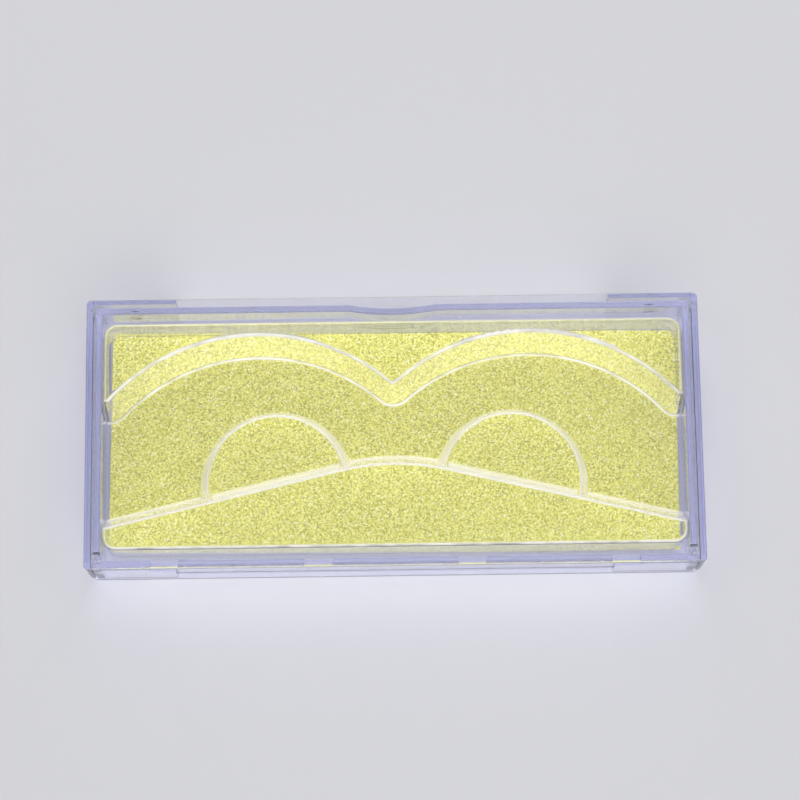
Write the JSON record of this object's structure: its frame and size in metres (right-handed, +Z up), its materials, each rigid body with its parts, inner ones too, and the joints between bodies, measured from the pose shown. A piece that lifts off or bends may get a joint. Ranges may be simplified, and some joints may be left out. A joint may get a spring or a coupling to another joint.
{
  "type": "false eyelash case",
  "caption": "Shallow clear hinged case with a gold glitter card under a clear formed tray that holds strip false eyelashes.",
  "frame": {"origin": "middle of the footprint, on the table", "axes": "+X along the case, +Y towards the thumb scoop, away from the hinge, +Z up out of the lid"},
  "size_m": [0.11, 0.049, 0.013],
  "materials": {
    "clear_polystyrene": "clear, polished mould finish with a faint blue cast",
    "clear_pet_sheet": "clear thermoformed sheet",
    "gold_glitter_card": "yellow-gold glitter face, plain white back"
  },
  "bodies": {
    "base": {"case_base": "clear_polystyrene", "tray_insert": "clear_pet_sheet", "glitter_card": "gold_glitter_card"},
    "lid": {"case_lid": "clear_polystyrene"}
  },
  "joints": [
    {"name": "lid_hinge", "type": "hinge", "parent": "base", "child": "lid", "pos_m": [0, -0.0217, 0.006], "axis": [1, 0, 0], "range_deg": [0, 110]}
  ]
}
